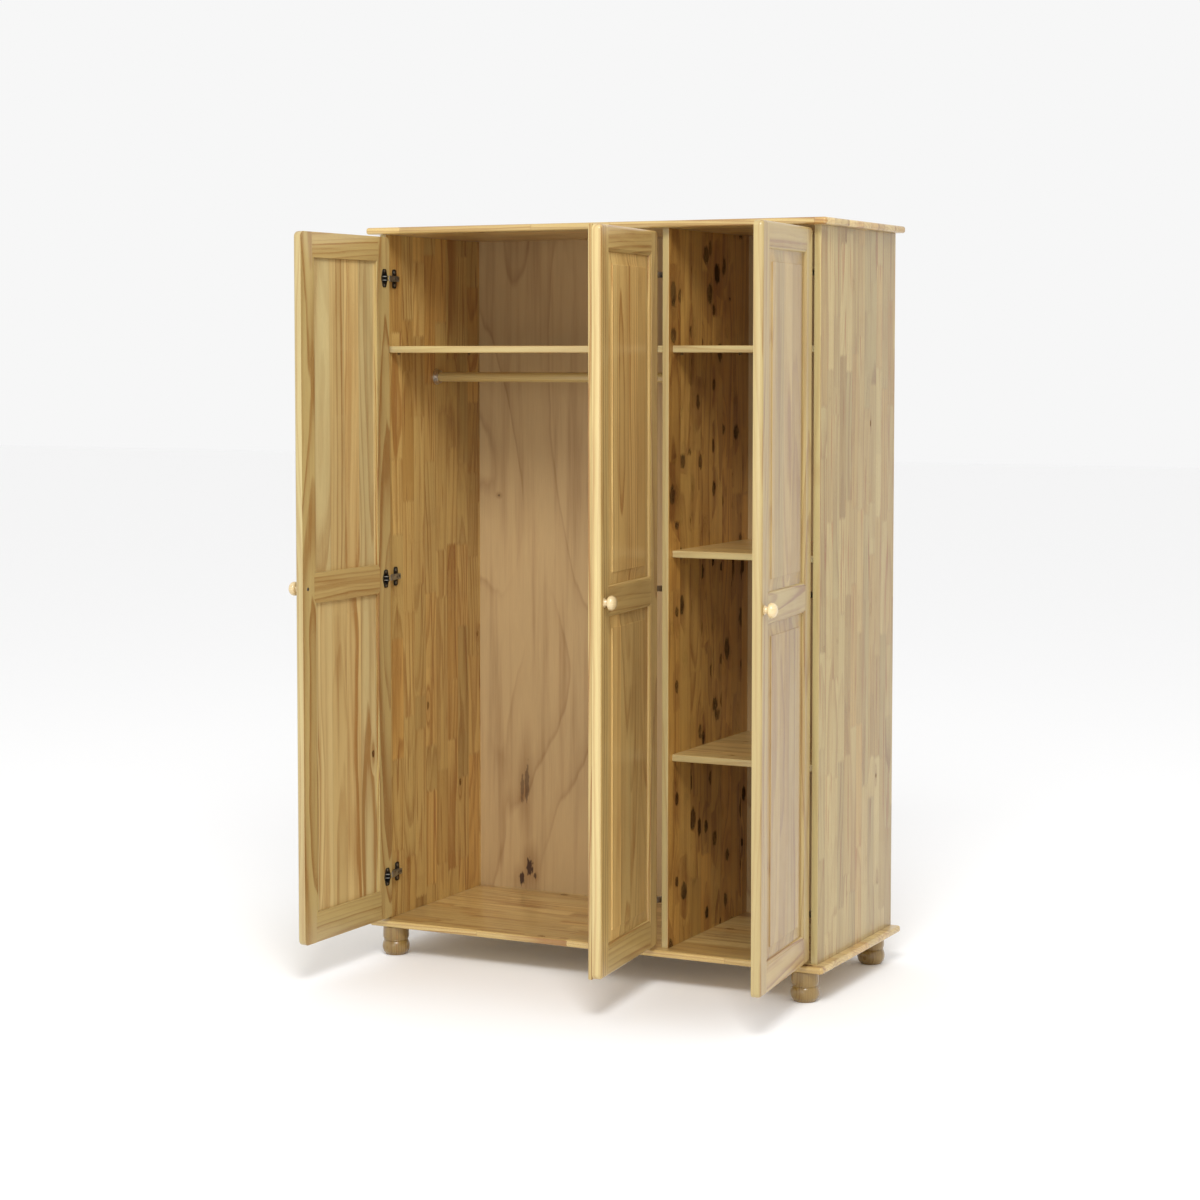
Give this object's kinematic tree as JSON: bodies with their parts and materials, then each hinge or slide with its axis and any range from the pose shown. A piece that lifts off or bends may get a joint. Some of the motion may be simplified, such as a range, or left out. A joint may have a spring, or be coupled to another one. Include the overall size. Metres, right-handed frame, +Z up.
{
  "type": "wardrobe",
  "caption": "Free-standing pine wardrobe on turned bun feet, with framed panel doors on cup hinges, a hanging compartment with hat shelf and rail, and a shelved compartment; doors stored open.",
  "frame": {"origin": "on the floor, in the middle of the footprint of the whole wardrobe with its doors open", "axes": "+Z up; the front, which the doors close, faces -Y; +X to the right as seen from the front"},
  "size_m": [1.2581, 0.8966, 1.8265],
  "materials": {
    "pine": "finger-jointed solid pine boards, clear satin lacquer",
    "door_pine": "solid pine door frames and panels, clear satin lacquer",
    "plywood": "rotary-cut pine plywood, lightly lacquered",
    "rail_wood": "turned dowel, clear lacquer",
    "knob_wood": "turned pine, glossier clear lacquer",
    "foot_wood": "turned pine, clear satin lacquer",
    "hinge_steel": "nickel-plated pressed steel"
  },
  "bodies": {
    "carcass": {"top_board": "pine", "bottom_board": "pine", "left_side": "pine", "right_side": "pine", "partition": "pine", "back_panel": "plywood", "hat_shelf": "pine", "shelf_upper": "pine", "shelf_middle": "pine", "shelf_lower": "pine", "clothes_rail": "rail_wood", "rail_socket_left": "hinge_steel", "rail_socket_right": "hinge_steel", "foot_front_left": "foot_wood", "foot_front_right": "foot_wood", "foot_back_left": "foot_wood", "foot_back_right": "foot_wood", "left_hinge_arm_top": "hinge_steel", "left_hinge_arm_middle": "hinge_steel", "left_hinge_arm_bottom": "hinge_steel", "middle_hinge_arm_top": "hinge_steel", "middle_hinge_arm_middle": "hinge_steel", "middle_hinge_arm_bottom": "hinge_steel", "right_hinge_arm_top": "hinge_steel", "right_hinge_arm_middle": "hinge_steel", "right_hinge_arm_bottom": "hinge_steel"},
    "left_door": {"left_door_hinge_stile": "door_pine", "left_door_free_stile": "door_pine", "left_door_top_rail": "door_pine", "left_door_lock_rail": "door_pine", "left_door_bottom_rail": "door_pine", "left_door_upper_panel": "door_pine", "left_door_lower_panel": "door_pine", "left_door_knob": "knob_wood", "left_hinge_cup_top": "hinge_steel", "left_hinge_cup_middle": "hinge_steel", "left_hinge_cup_bottom": "hinge_steel"},
    "middle_door": {"middle_door_hinge_stile": "door_pine", "middle_door_free_stile": "door_pine", "middle_door_top_rail": "door_pine", "middle_door_lock_rail": "door_pine", "middle_door_bottom_rail": "door_pine", "middle_door_upper_panel": "door_pine", "middle_door_lower_panel": "door_pine", "middle_door_knob": "knob_wood", "middle_door_meeting_strip": "door_pine", "middle_hinge_cup_top": "hinge_steel", "middle_hinge_cup_middle": "hinge_steel", "middle_hinge_cup_bottom": "hinge_steel"},
    "right_door": {"right_door_hinge_stile": "door_pine", "right_door_free_stile": "door_pine", "right_door_top_rail": "door_pine", "right_door_lock_rail": "door_pine", "right_door_bottom_rail": "door_pine", "right_door_upper_panel": "door_pine", "right_door_lower_panel": "door_pine", "right_door_knob": "knob_wood", "right_hinge_cup_top": "hinge_steel", "right_hinge_cup_middle": "hinge_steel", "right_hinge_cup_bottom": "hinge_steel"}
  },
  "joints": [
    {"name": "left_door_hinge", "type": "hinge", "parent": "carcass", "child": "left_door", "pos_m": [-0.5909, -0.0677, 0.9545], "axis": [0, 0, 1], "range_deg": [-8.7, 91.3]},
    {"name": "middle_door_hinge", "type": "hinge", "parent": "carcass", "child": "middle_door", "pos_m": [0.1711, -0.0677, 0.9545], "axis": [0, 0, 1], "range_deg": [-96, 4]},
    {"name": "right_door_hinge", "type": "hinge", "parent": "carcass", "child": "right_door", "pos_m": [0.5631, -0.0677, 0.9545], "axis": [0, 0, 1], "range_deg": [-95.8, 4.2]}
  ]
}
